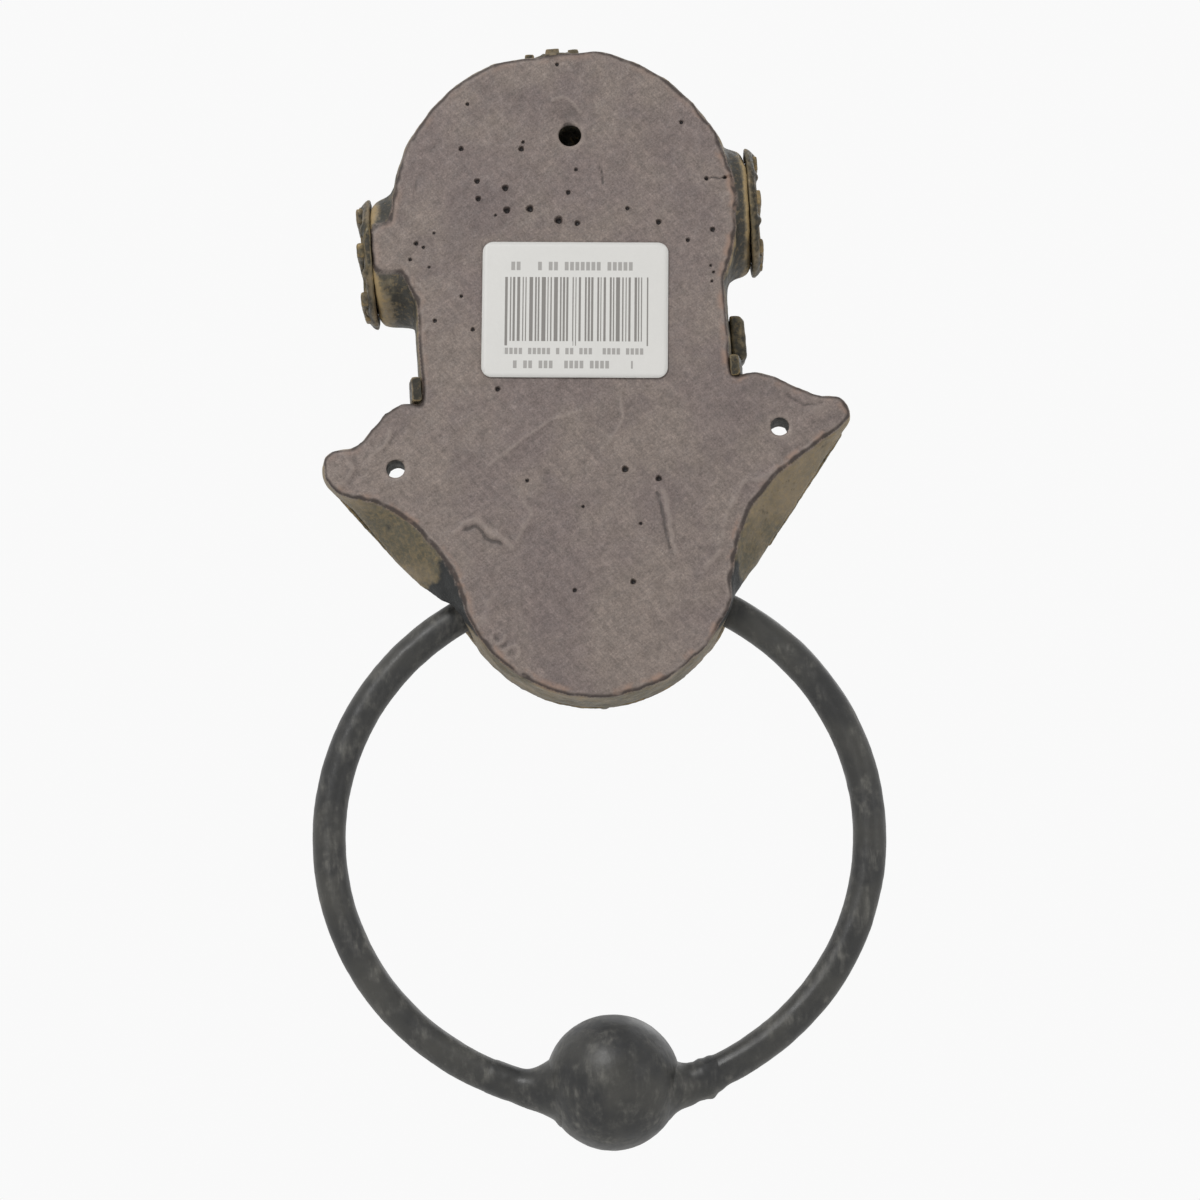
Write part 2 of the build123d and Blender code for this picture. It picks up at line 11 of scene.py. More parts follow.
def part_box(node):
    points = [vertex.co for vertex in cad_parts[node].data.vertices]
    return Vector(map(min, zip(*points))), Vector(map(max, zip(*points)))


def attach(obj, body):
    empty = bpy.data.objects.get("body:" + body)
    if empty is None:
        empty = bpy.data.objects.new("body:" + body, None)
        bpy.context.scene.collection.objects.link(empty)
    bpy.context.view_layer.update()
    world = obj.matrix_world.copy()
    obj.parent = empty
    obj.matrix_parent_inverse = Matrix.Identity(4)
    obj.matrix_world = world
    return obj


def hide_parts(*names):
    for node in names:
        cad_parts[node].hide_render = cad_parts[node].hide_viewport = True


# A door knocker: a diver's helmet and corselet cast in painted resin, with an iron ring and ball.
# Shapes are worked out in millimetres and stored in metres. The back lies at y = 0 and faces +Y.

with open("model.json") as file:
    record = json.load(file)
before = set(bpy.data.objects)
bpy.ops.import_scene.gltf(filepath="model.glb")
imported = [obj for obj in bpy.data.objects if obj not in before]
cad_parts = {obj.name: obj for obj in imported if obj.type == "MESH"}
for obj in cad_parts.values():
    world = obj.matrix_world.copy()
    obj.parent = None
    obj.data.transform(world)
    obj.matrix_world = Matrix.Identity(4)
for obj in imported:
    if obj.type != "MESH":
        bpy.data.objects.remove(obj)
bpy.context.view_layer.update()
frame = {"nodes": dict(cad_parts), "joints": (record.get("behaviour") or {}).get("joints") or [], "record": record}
MM = 0.001

# ---------------------------------------------------------------- driving dimensions, in mm
BODY_VOXEL = 0.85
FITTING_VOXEL = 0.38
BACK_INSET = 0.45             # the painted back lies this far inside the CAD back, on average
BACK_WAVE = 0.16              # how uneven the back, the walls and the front are
WALL_WAVE = 0.28
FRONT_WAVE = 0.16
PIT_DEPTH = 1.25              # a pit's depth and the height of its lip, as shares of its radius
PIT_LIP = 0.07

# air-bubble pits in the back: x, z, radius
PITS = (
    (0, 121, 0.45), (20, 113.5, 0.45), (22, 103.5, 0.6), (9, 102.5, 0.65), (8.5, 104, 0.4),
    (19, 96, 0.65), (13, 94, 0.75), (19, 92, 0.65), (13, 89, 0.8), (8, 89, 0.85), (2, 86, 0.9),
    (-2, 85, 0.65), (-2.5, 97, 0.45), (-0.5, 92, 0.55), (-13, 87.5, 0.5), (-19.5, 84, 0.65),
    (-31, 81.5, 0.6), (-25.5, 79.5, 0.5), (-26, 106, 0.5), (29, 85, 0.35), (33, 83, 0.55),
    (31.5, 82, 0.4), (34.5, 79.5, 0.45), (30.5, 77.5, 0.35), (30, 65.5, 0.5), (22, 63, 0.5),
    (24, 70.5, 0.4), (17.5, 49.5, 0.6), (-8.5, 30, 0.75), (-15.5, 27.5, 0.7), (-8.5, 5.5, 0.65),
    (4, 4.5, 0.5), (12.5, 29, 0.45), (1, 22.5, 0.4), (-11, 18, 0.4), (-30, 73.5, 0.35),
    (-30.5, 72, 0.35), (-30, 70, 0.35), (-30.5, 93, 0.5), (-34.5, 93, 0.45), (15.5, 88, 0.35),
)

# lines on the back: width, height (a groove is negative), and the places they pass through
RIDGES = (
    (0.5, 0.16, ((20, 33), (15, 36.5), (10.5, 40), (5, 42), (0, 43))),
    (0.35, -0.1, ((12, 30), (2, 29.5), (-7, 29))),
    (0.7, 0.3, ((-16, 24.5), (-17, 18), (-18, 11))),
    (0.5, -0.25, ((-15, 24.5), (-16, 18), (-17, 12))),
    (0.7, 0.34, ((28.5, 19), (26, 20.5), (24, 21), (22, 18.5), (19.5, 17.5), (17, 15))),
    (0.5, -0.22, ((26, 19), (24, 19.5), (22, 17), (19.5, 16))),
    (1.0, 0.3, ((-50, 33.5), (-42, 28), (-33.5, 25), (-30, 20), (-28, 13.5), (-24.5, 7.5))),
    (0.9, 0.25, ((-27, -2), (-24, -7.5), (-20.5, -11.5), (-13, -16.5))),
    (0.4, 0.3, ((-4.5, 110), (-3, 112.5), (-1, 113.5), (1.5, 113))),
    (0.25, -0.25, ((-7.5, 98), (-8, 96), (-8, 93.5))),
    (0.5, -0.14, ((28, 104.5), (31.5, 98), (33.5, 91))),
    (0.25, -0.3, ((-30.5, 93), (-32, 93.5), (-33.5, 92.5), (-35.5, 93))),
    (0.6, 0.25, ((46, 35.5), (43, 38.5), (41.5, 42))),
    (0.6, 0.3, ((51, 38), (50, 34), (52.5, 31))),
    (0.5, -0.2, ((-44, 44), (-48, 41), (-51.5, 42))),
    (0.8, 0.2, ((14, 27), (12.5, 22), (15.5, 16))),
    (0.6, 0.18, ((-9, 47), (-8.5, 41), (-6, 36))),
)

# small rings raised on the back: x, z, radius of the ring
LOOPS = ((-35, 88, 1.2), (34, 72, 1.7), (33.5, 64.5, 1.5), (34, 62, 1.3), (21, -4.5, 1.3),
         (18, -8, 1.4), (-27.5, 5.5, 0.6))

# swellings and hollows of the back: x, z, radius, height
SWELLINGS = ((-1.5, 109.5, 3, -0.75), (23.5, -0.5, 2.2, 0.4), (22.5, 3, 1.6, 0.25),
             (52.5, 33.5, 2.2, 0.3), (-50, 40, 3, 0.3), (-12, 17.5, 4, -0.25), (17.5, 36, 5, 0.3),
             (-21, 96, 6, -0.3), (4, 69, 30, 0.1), (-14.5, 106, 5, 0.25))


# ---------------------------------------------------------------- mesh helpers
def mesh_object(name, verts, faces):
    mesh = bpy.data.meshes.new(name)
    mesh.from_pydata([tuple(v) for v in verts], [], faces)
    made = bpy.data.objects.new(name, mesh)
    bpy.context.scene.collection.objects.link(made)
    return made


def places(obj):
    """The vertices' places, in millimetres."""
    co = np.empty(len(obj.data.vertices) * 3)
    obj.data.vertices.foreach_get("co", co)
    return co.reshape(-1, 3) / MM


def put(obj, co):
    obj.data.vertices.foreach_set("co", (co * MM).ravel())
    obj.data.update()


def directions(obj):
    normals = np.empty(len(obj.data.vertices) * 3)
    obj.data.vertex_normals.foreach_get("vector", normals)
    return normals.reshape(-1, 3)


def edge_pairs(obj):
    pairs = np.empty(len(obj.data.edges) * 2, int)
    obj.data.edges.foreach_get("vertices", pairs)
    return pairs.reshape(-1, 2)


def averaged(values, pairs):
    """Each row becomes the mean of its neighbours' rows."""
    count = len(values)
    ends = np.concatenate((pairs[:, 0], pairs[:, 1]))
    others = np.concatenate((pairs[:, 1], pairs[:, 0]))
    degree = np.maximum(np.bincount(ends, minlength=count), 1)
    columns = [np.bincount(ends, column[others], count) / degree for column in values.T]
    return np.stack(columns, axis=1)


def relax(obj, rounds, weight=1.0):
    """Smooth the mesh, each round moving every vertex half way to its neighbours' mean."""
    co = places(obj)
    pairs = edge_pairs(obj)
    for _ in range(rounds):
        co += 0.5 * weight * (averaged(co, pairs) - co)
    put(obj, co)


def smoothly(low, high, value):
    """0 at low and 1 at high, with an eased run between them."""
    t = np.clip((value - low) / (high - low), 0, 1)
    return t * t * (3 - 2 * t)


def ripple(co, size, seed, octaves=3):
    """Smooth noise, about -1 to 1, with features of this size."""
    shift = Vector((seed * 17.3, seed * 5.1, seed * 9.7))
    return np.array([noise.fractal(Vector(p) / size + shift, 1.0, 2.0, octaves) for p in co])


def paint(obj, name, values):
    """Store a number for each vertex, which the materials read by this name."""
    attribute = obj.data.attributes.new(name, "FLOAT", "POINT")
    attribute.data.foreach_set("value", np.asarray(values, np.float32))


def paint_relief(obj, reach):
    """Store how far each vertex stands out of its surroundings, or lies in them, in mm."""
    co = places(obj)
    pairs = edge_pairs(obj)
    level = co.copy()
    for _ in range(reach):
        level = averaged(level, pairs)
    paint(obj, "relief", ((co - level) * directions(obj)).sum(axis=1))


def copy_of(node, name):
    made = bpy.data.objects.new(name, frame["nodes"][node].data.copy())
    made.data.materials.clear()
    bpy.context.scene.collection.objects.link(made)
    return made


def join(obj, others):
    """Add the others' meshes to obj's and delete them."""
    whole = bmesh.new()
    for each in [obj] + others:
        whole.from_mesh(each.data)
    whole.to_mesh(obj.data)
    whole.free()
    for each in others:
        bpy.data.meshes.remove(each.data)


def remesh(obj, voxel):
    modifier = obj.modifiers.new("voxels", "REMESH")
    modifier.mode = "VOXEL"
    modifier.voxel_size = voxel * MM
    graph = bpy.context.evaluated_depsgraph_get()
    mesh = bpy.data.meshes.new_from_object(obj.evaluated_get(graph))
    obj.modifiers.clear()
    old = obj.data
    obj.data = mesh
    bpy.data.meshes.remove(old)


def refine(obj, wanted, cuts=1):
    """Subdivide the faces whose middle satisfies wanted(x, y, z), in mm."""
    fine = bmesh.new()
    fine.from_mesh(obj.data)
    middles = np.array([face.calc_center_median() for face in fine.faces]) / MM
    chosen = wanted(middles[:, 0], middles[:, 1], middles[:, 2])
    edges = {edge for face, take in zip(fine.faces, chosen) if take for edge in face.edges}
    bmesh.ops.subdivide_edges(fine, edges=list(edges), cuts=cuts, use_grid_fill=True)
    fine.to_mesh(obj.data)
    fine.free()


def finish_piece(obj, body, material, nodes=()):
    obj.data.shade_smooth()
    obj.data.materials.clear()
    obj.data.materials.append(material)
    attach(obj, body)
    if nodes:
        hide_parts(*nodes)
    return obj


# ---------------------------------------------------------------- material helpers
def new_material(name):
    material = bpy.data.materials.new(name)
    material.use_nodes = True
    material.node_tree.nodes.clear()
    return material, material.node_tree


def node(tree, kind, inputs=None, **settings):
    made = tree.nodes.new("ShaderNode" + kind)
    for key, value in settings.items():
        setattr(made, key, value)
    for key, value in (inputs or {}).items():
        if isinstance(value, bpy.types.NodeSocket):
            tree.links.new(value, made.inputs[key])
        else:
            made.inputs[key].default_value = value
    return made


def colour(red, green, blue):
    return (red, green, blue, 1.0)


def mixed(tree, factor, a, b, mode="MIX"):
    """Colour a, going to b as factor goes to 1."""
    made = node(tree, "Mix", {0: factor, 6: a, 7: b}, data_type="RGBA", blend_type=mode)
    return made.outputs[2]


def stored(tree, name):
    """What paint() stored under this name."""
    return node(tree, "Attribute", attribute_name=name).outputs["Fac"]


def spread(tree, value, low, high, bottom=0.0, top=1.0):
    """value's run from low to high, eased and clamped to bottom and top."""
    inputs = {"Value": value, 1: low, 2: high, 3: bottom, 4: top}
    return node(tree, "MapRange", inputs, interpolation_type="SMOOTHSTEP").outputs[0]


def maths(tree, operation, a, b=0.0):
    return node(tree, "Math", {0: a, 1: b}, operation=operation).outputs[0]


def product(tree, *factors):
    result = factors[0]
    for factor in factors[1:]:
        result = maths(tree, "MULTIPLY", result, factor)
    return result


def position(tree, turn=(0, 0, 0), stretch=(1, 1, 1)):
    """The place in the piece's own space in millimetres, turned and then stretched."""
    place = node(tree, "TexCoord").outputs["Object"]
    turned = node(tree, "Mapping", {"Vector": place, "Rotation": turn}).outputs[0]
    scale = tuple(1 / (MM * size) for size in stretch)
    return node(tree, "Mapping", {"Vector": turned, "Scale": scale}).outputs[0]


def clouds(tree, size, detail=3.0, seed=0.0, where=None, roughness=0.55):
    """Noise from 0 to 1, its features about this many mm across."""
    inputs = {
        "Vector": where or position(tree),
        "W": seed,
        "Scale": 1 / size,
        "Detail": detail,
        "Roughness": roughness,
    }
    return node(tree, "TexNoise", inputs, noise_dimensions="4D").outputs["Fac"]


def surface(tree, base, roughness, height=None, bump=0.3, **more):
    """The shader and its output. height is in mm, for fine grain only."""
    inputs = {"Base Color": base, "Roughness": roughness}
    inputs.update({key.replace("_", " "): value for key, value in more.items()})
    if height is not None:
        grain = {"Height": height, "Strength": bump, "Distance": MM}
        inputs["Normal"] = node(tree, "Bump", grain).outputs[0]
    shader = node(tree, "BsdfPrincipled", inputs)
    node(tree, "OutputMaterial", {"Surface": shader.outputs[0]})


# ---------------------------------------------------------------- materials
# bronze paint
DARK_PAINT = colour(0.022, 0.020, 0.014)
GILT = colour(0.27, 0.19, 0.085)
OLIVE = colour(0.066, 0.058, 0.036)
TAN = colour(0.168, 0.133, 0.086)

# the painted back
BEIGE = colour(0.162, 0.129, 0.111)
MAUVE = colour(0.138, 0.107, 0.098)
SMUDGE = colour(0.106, 0.081, 0.077)
RIDGE_HIGHLIGHT = colour(0.25, 0.205, 0.18)
CREASE_SHADE = colour(0.035, 0.026, 0.023)
PINK_TAN = colour(0.23, 0.150, 0.112)
OUTLINE = colour(0.022, 0.013, 0.010)
PIT_SHADE = colour(0.012, 0.009, 0.009)
BLACK_SPILL = colour(0.008, 0.009, 0.009)

# iron, glaze, brass and label
IRON_BLACK = colour(0.010, 0.0105, 0.011)
IRON_FILM = colour(0.032, 0.031, 0.027)
IRON_SCUFF_HIGHLIGHT = colour(0.16, 0.153, 0.135)
IRON_HIGH_SPOT = colour(0.10, 0.095, 0.08)
GLAZE_DARK = colour(0.006, 0.010, 0.010)
GLAZE_PALE = colour(0.02, 0.028, 0.024)
BRASS = colour(0.16, 0.11, 0.045)
BRASS_STAIN = colour(0.06, 0.045, 0.025)
PAPER_LIGHT = colour(0.56, 0.55, 0.53)
PAPER_DARK = colour(0.535, 0.53, 0.51)
PAPER_FIBRE = colour(0.50, 0.49, 0.47)
INK = colour(0.11, 0.10, 0.09)


def patina(tree, gold, dark):
    """Brassy paint rubbed off high places over a dark wash. gold and dark shift the two."""
    relief = stored(tree, "relief")
    broad = clouds(tree, 11.0, seed=3.1)
    blotch = clouds(tree, 3.4, detail=5, seed=8.4)
    speck = clouds(tree, 0.9, detail=3, seed=5.5)
    base = mixed(tree, spread(tree, broad, 0.4, 0.62), OLIVE, TAN)
    base = mixed(tree, spread(tree, speck, 0.35, 0.75, 0.0, 0.35), base, GILT)
    wash = maths(tree, "ADD", product(tree, relief, -3.0), product(tree, blotch, 1.3))
    wash = maths(tree, "ADD", wash, speck)
    base = mixed(tree, spread(tree, wash, 0.92 - dark, 1.4 - dark), base, DARK_PAINT)
    lightened = maths(tree, "ADD", product(tree, relief, 2.5), speck)
    grit = clouds(tree, 1.3, detail=6, seed=6.6, roughness=0.75)
    base = mixed(tree, spread(tree, grit, 0.5, 0.64, 0, 0.15 + gold), base, GILT)
    return mixed(tree, spread(tree, lightened, 0.95 - gold, 1.4 - gold, 0, 0.8), base, GILT)


def bronze_material(name, gold, dark):
    """The fittings' paint, as in patina()."""
    material, tree = new_material(name)
    base = patina(tree, gold, dark)
    shine = clouds(tree, 1.6, seed=2.2)
    grain = clouds(tree, 0.35, detail=4, seed=1.2)
    gloss = spread(tree, shine, 0.3, 0.7, 0.38, 0.62)
    surface(tree, base, gloss, grain, 0.12, Metallic=0.25, Specular_IOR_Level=0.3)
    return material


def back_colour(tree):
    """Brownish-mauve paint, clouded and brushed, with painted highlights on ridges and painted shade in creases.
    """
    cloud = clouds(tree, 22, detail=4, seed=1.0)
    smudge = clouds(tree, 13, detail=4, seed=6.0)
    mottle = clouds(tree, 1.6, detail=6, seed=2.0, roughness=0.7)
    fine = clouds(tree, 0.35, detail=3, seed=4.0, roughness=0.7)
    brush = clouds(tree, 1.0, detail=4, seed=7.0, where=position(tree, (0, 0.9, 0), (5, 1, 0.4)))
    stroke = clouds(tree, 1.0, detail=4, seed=3.0, where=position(tree, (0, -0.5, 0), (4, 1, 0.35)))
    base = mixed(tree, spread(tree, cloud, 0.38, 0.62), BEIGE, MAUVE)
    base = mixed(tree, spread(tree, smudge, 0.52, 0.68, 0, 0.55), base, SMUDGE)
    for pattern, amount in ((mottle, 0.22), (fine, 0.32), (brush, 0.12), (stroke, 0.09)):
        tone = spread(tree, pattern, 0.25, 0.75, 1 - amount, 1 + amount)
        grey = node(tree, "CombineColor", {0: tone, 1: tone, 2: tone}).outputs[0]
        base = mixed(tree, 1.0, base, grey, "MULTIPLY")
    relief = stored(tree, "relief")
    # painted highlight: paler colour wherever the back stands up into a ridge
    base = mixed(tree, spread(tree, relief, 0.005, 0.09, 0, 0.4), base, RIDGE_HIGHLIGHT)
    # painted shade: darker colour wherever the back sinks into a crease or groove
    return mixed(tree, spread(tree, relief, -0.012, -0.14, 0, 0.75), base, CREASE_SHADE)


def worn_edge(tree, base):
    """The outline's thin dark line, with pink-tan wear beside it."""
    edge = stored(tree, "edge")
    wear = clouds(tree, 5.0, detail=5, seed=9.0)
    worn = stored(tree, "worn")
    band = product(tree, spread(tree, edge, 2.6, 1.4), spread(tree, wear, 0.45, 0.62), worn)
    base = mixed(tree, band, base, PINK_TAN)
    thin = clouds(tree, 3.0, detail=3, seed=4.4)
    line = product(tree, spread(tree, edge, 1.55, 0.95), spread(tree, thin, 0.3, 0.5, 0.35, 0.9))
    return mixed(tree, line, base, OUTLINE)


def casting_material():
    """The flat back's paint, the walls' and front's patina, and black where the ring enters."""
    material, tree = new_material("cast_resin_paint")
    back = worn_edge(tree, back_colour(tree))
    # painted shade: near-black inside the air-bubble pits and down the holes' walls
    back = mixed(tree, stored(tree, "pit"), back, PIT_SHADE)
    walls, front = patina(tree, 0.1, -0.3), patina(tree, 0.17, 0.26)
    rest = mixed(tree, stored(tree, "front"), walls, front)
    rest = mixed(tree, stored(tree, "black"), rest, BLACK_SPILL)
    base = mixed(tree, stored(tree, "back"), rest, back)
    shine = clouds(tree, 2.5, seed=2.2)
    gloss = spread(tree, shine, 0.3, 0.7, 0.5, 0.68)
    grain = maths(tree, "ADD", clouds(tree, 0.5, detail=5, seed=1.2), clouds(tree, 1.8, seed=3.3))
    surface(tree, base, gloss, grain, 0.26)
    return material


def iron_material():
    """Near-black paint, with lighter scuffs that are partly real and partly painted highlights along the rod, and
    a dull film here and there.
    """
    material, tree = new_material("black_iron_paint")
    film = clouds(tree, 12, detail=3, seed=2.0)
    scuff = clouds(tree, 5.0, detail=5, seed=2.5, roughness=0.6)
    streak = clouds(tree, 1.1, detail=5, seed=5.0, where=position(tree, (0, 0, 0), (1.2, 1.2, 4.0)))
    fine = clouds(tree, 0.5, detail=4, seed=7.0)
    base = mixed(tree, spread(tree, film, 0.38, 0.66), IRON_BLACK, IRON_FILM)
    # real scuffs, made pale and streaky enough to serve also as painted highlights
    lightened = product(tree, spread(tree, scuff, 0.42, 0.72), spread(tree, streak, 0.35, 0.75), 0.8)
    base = mixed(tree, lightened, base, IRON_SCUFF_HIGHLIGHT)
    base = mixed(tree, spread(tree, stored(tree, "relief"), 0.03, 0.15, 0, 0.3), base, IRON_HIGH_SPOT)
    shine = spread(tree, scuff, 0.3, 0.7, 0.36, 0.54)
    grain = maths(tree, "ADD", fine, product(tree, streak, 1.5))
    surface(tree, base, shine, grain, 0.05)
    return material


def glaze_material():
    """The lights: almost black, glossy and a little cloudy."""
    material, tree = new_material("dark_glaze")
    pool = clouds(tree, 4, seed=1.0)
    base = mixed(tree, spread(tree, pool, 0.35, 0.65), GLAZE_DARK, GLAZE_PALE)
    surface(tree, base, spread(tree, pool, 0.3, 0.7, 0.06, 0.16), clouds(tree, 2.5, seed=4), 0.04)
    return material


def brass_material():
    """Stained brass with the marks of turning."""
    material, tree = new_material("bush_brass")
    stain = clouds(tree, 2.0, detail=4, seed=3.0)
    base = mixed(tree, spread(tree, stain, 0.35, 0.7), BRASS, BRASS_STAIN)
    turned = clouds(tree, 0.3, seed=1.0, where=position(tree, (0, 0, 0), (0.3, 8, 8)))
    surface(tree, base, spread(tree, stain, 0.3, 0.7, 0.3, 0.55), turned, 0.1, Metallic=0.9)
    return material


# ---------------------------------------------------------------- body casting
def ridge(x, z, width, height, points):
    """Height at x, z of a rounded line through the points."""
    nearest = np.full(len(x), 1e9)
    for (x0, z0), (x1, z1) in zip(points, points[1:]):
        dx, dz = x1 - x0, z1 - z0
        along = np.clip(((x - x0) * dx + (z - z0) * dz) / (dx * dx + dz * dz), 0, 1)
        nearest = np.minimum(nearest, np.hypot(x - x0 - along * dx, z - z0 - along * dz))
    return height * np.exp(-((nearest / width) ** 2))


def back_relief(co):
    """Height of the back's hand-smoothed surface above its mean, in mm."""
    flat = co * (1, 0, 1)
    x, z = co[:, 0], co[:, 2]
    height = BACK_WAVE * ripple(flat, 17, 1) + 0.06 * ripple(flat, 4.5, 2)
    bent_x, bent_z = x + 0.9 * ripple(flat, 6.0, 8), z + 0.9 * ripple(flat, 6.0, 9)
    broken = 0.9 + 0.6 * ripple(flat, 3.5, 5, 2)
    for width, rise, points in RIDGES:
        height += broken * ridge(bent_x, bent_z, width, rise, points)
    bend = 1 + 0.35 * ripple(flat, 2.2, 6)
    strength = 0.15 + 0.3 * ripple(flat, 2.5, 7)
    for cx, cz, radius in LOOPS:
        away = np.hypot(x - cx, z - cz) * bend
        height += strength * np.exp(-(((away - radius) / 0.45) ** 2))
    for cx, cz, radius, rise in SWELLINGS:
        height += rise * np.exp(-((x - cx) ** 2 + (z - cz) ** 2) / radius**2)
    return height


def near_pits(margin):
    """A test, for refine(), of whether a place is on a pit or within margin of it."""
    def wanted(x, y, z):
        close = np.zeros(len(x), bool)
        for cx, cz, radius in PITS:
            close |= np.hypot(x - cx, z - cz) < radius + margin
        return close & (y > -1.0)
    return wanted


def label_share(x, z):
    """1 under the label and 0 a little way outside it."""
    low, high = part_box("barcode_label")
    middle = (low + high) / (2 * MM)
    half = (high - low) / (2 * MM)
    inside = np.maximum(abs(x - middle.x) - half.x, abs(z - middle.z) - half.z)
    return 1 - smoothly(-1.0, 3.0, inside)


def round_hole(co, x, z, radius, depth):
    """Bring the vertices on a hole's wall to its true radius."""
    dx, dz = co[:, 0] - x, co[:, 2] - z
    away = np.maximum(np.hypot(dx, dz), 1e-6)
    wall = (away > radius - 0.7) & (away < radius + 0.45) & (co[:, 1] > -depth)
    co[wall, 0] = x + dx[wall] * radius / away[wall]
    co[wall, 2] = z + dz[wall] * radius / away[wall]


def bore_mounts():
    """x, z, radius and length of each hole, in mm, from the record's mounts."""
    bores = [mount for mount in frame["record"]["mounts"] if mount["kind"] == "bore"]
    found = []
    for mount in bores:
        x, _, z = (value / MM for value in mount["pos_m"])
        found.append((x, z, mount["dims"]["r_mm"], mount["dims"]["length_mm"]))
    return found


def sink_pits(obj):
    """Press the pits into the back, and mark them and the insides of the holes for painted shade."""
    co = places(obj)
    pit = np.zeros(len(co))
    back = co[:, 1] > -1.3
    for cx, cz, radius in PITS:
        wobble = 1 + 0.06 * np.sin(3 * np.arctan2(co[:, 2] - cz, co[:, 0] - cx) + cx)
        away = np.hypot(co[:, 0] - cx, co[:, 2] - cz) / (radius * wobble)
        bowl = np.sqrt(np.clip(1 - away**2, 0, 1))
        lip = np.exp(-(((away - 1.15) / 0.22) ** 2))
        co[:, 1] += back * radius * (PIT_LIP * lip - PIT_DEPTH * bowl)
        pit = np.maximum(pit, back * (1 - smoothly(0.55, 1.0, away)))
    for x, z, radius, _ in bore_mounts():
        inside = np.hypot(co[:, 0] - x, co[:, 2] - z) < radius + 0.3
        pit = np.maximum(pit, inside * smoothly(0.7, 1.6, -co[:, 1]))
    put(obj, co)
    paint(obj, "pit", pit)


def paint_edges(obj, back):
    """Distance from the back's outline, and where the paint is worn through along it."""
    co = places(obj)
    outline = (back < 0.3) & (co[:, 1] > -4)
    for x, z, radius, _ in bore_mounts():
        outline &= np.hypot(co[:, 0] - x, co[:, 2] - z) > radius + 1.5
    walls = np.flatnonzero(outline)
    tree = KDTree(len(walls))
    for index in walls:
        tree.insert(co[index], int(index))
    tree.balance()
    edge = np.full(len(co), 3.0)
    for index in np.flatnonzero(back > 0.02):
        edge[index] = min(tree.find(co[index])[2], 3.0)
    pairs = edge_pairs(obj)
    edge = edge[:, None]
    for _ in range(3):
        edge = averaged(edge, pairs)
    paint(obj, "edge", edge[:, 0])
    paint(obj, "back", back)
    lower = 1 - smoothly(20, 42, co[:, 2])
    left_side = smoothly(26, 32, -co[:, 0])
    paint(obj, "worn", np.clip(0.35 + 0.65 * lower + 0.5 * left_side, 0, 1))


BLACK_HEIGHT = 4.2            # how far the black paint reaches above and below the pivots
BLACK_EXTRA = 3.6             # and how much further beside the back's outline
BLACK_AHEAD = 5.0             # how far it reaches forward of the pivots
TONGUE_HALF = 18.0            # there is none nearer the middle than this


def paint_patches(obj):
    """Black paint round the ring's two entries, and where the darker paint of the front is."""
    co = places(obj)
    joint = frame["joints"][0]
    origin = np.array(joint["pos_m"]) / MM
    axis = np.array(joint["axis"])
    offset = co - origin
    offset -= (offset @ axis)[:, None] * axis
    tall = BLACK_HEIGHT + BLACK_EXTRA * smoothly(-5.5, -1, co[:, 1])
    ahead = np.clip(-offset[:, 1], 0, None) / BLACK_AHEAD
    away = np.hypot(ahead, offset[:, 2] / tall) + 0.2 * ripple(co, 3.0, 12)
    paint(obj, "black", (1 - smoothly(0.95, 1.1, away)) * (abs(co[:, 0]) > TONGUE_HALF))
    paint(obj, "front", np.maximum(smoothly(9, 16, -co[:, 1]), smoothly(48, 58, co[:, 2])))


def body_casting():
    """Helmet and corselet, sculpted from the CAD solid: soft in front, flat and worn behind."""
    body = copy_of("body_casting", "helmet_casting")
    remesh(body, BODY_VOXEL)
    relax(body, 2)
    forward = smoothly(2.5, 9.0, -places(body)[:, 1])[:, None]
    relax(body, 30, forward)
    refine(body, lambda x, y, z: y > -0.6)
    refine(body, near_pits(0.9))
    refine(body, near_pits(0.35))

    co = places(body)
    back = smoothly(-0.9, -0.2, co[:, 1])[:, None]
    for _ in range(2):
        back = averaged(back, edge_pairs(body))
    back = smoothly(0.3, 0.7, back[:, 0])
    wobble = np.stack([ripple(co, 4.5, 21), np.zeros(len(co)), ripple(co, 4.5, 22)], axis=1)
    co += WALL_WAVE * smoothly(-9, -1, co[:, 1])[:, None] * wobble
    on_back = smoothly(-1.8, -0.35, co[:, 1])
    height = back_relief(co) * (1 - 0.8 * label_share(co[:, 0], co[:, 2]))
    co[:, 1] += on_back * (np.clip(height, -1.2, BACK_INSET - 0.06) - BACK_INSET)
    for x, z, radius, length in bore_mounts():
        round_hole(co, x, z, radius, length - 0.6)
    put(body, co)

    out = FRONT_WAVE * ripple(co, 6, 31) + 0.07 * ripple(co, 2.2, 32)
    out *= smoothly(1.5, 5, -co[:, 1])
    put(body, co + out[:, None] * directions(body))
    paint_relief(body, 6)
    paint_edges(body, back)
    sink_pits(body)
    paint_patches(body)
    return finish_piece(body, "helmet", casting_material(), ["body_casting"])


# ---------------------------------------------------------------- cast fittings
def bolt_head(place, out, radius, height):
    """A low dome, as a closed mesh, standing at place and facing out, in mm."""
    dome = bmesh.new()
    bmesh.ops.create_uvsphere(dome, u_segments=14, v_segments=8, radius=1.0)
    turn = Vector(out).to_track_quat("Z", "Y").to_matrix().to_4x4()
    size = Matrix.Diagonal((radius * MM, radius * MM, height * MM, 1))
    dome.transform(Matrix.Translation(Vector(place) * MM) @ turn @ size)
    mesh = bpy.data.meshes.new("bolt_head")
    dome.to_mesh(mesh)
    dome.free()
    return bpy.data.objects.new("bolt_head", mesh)


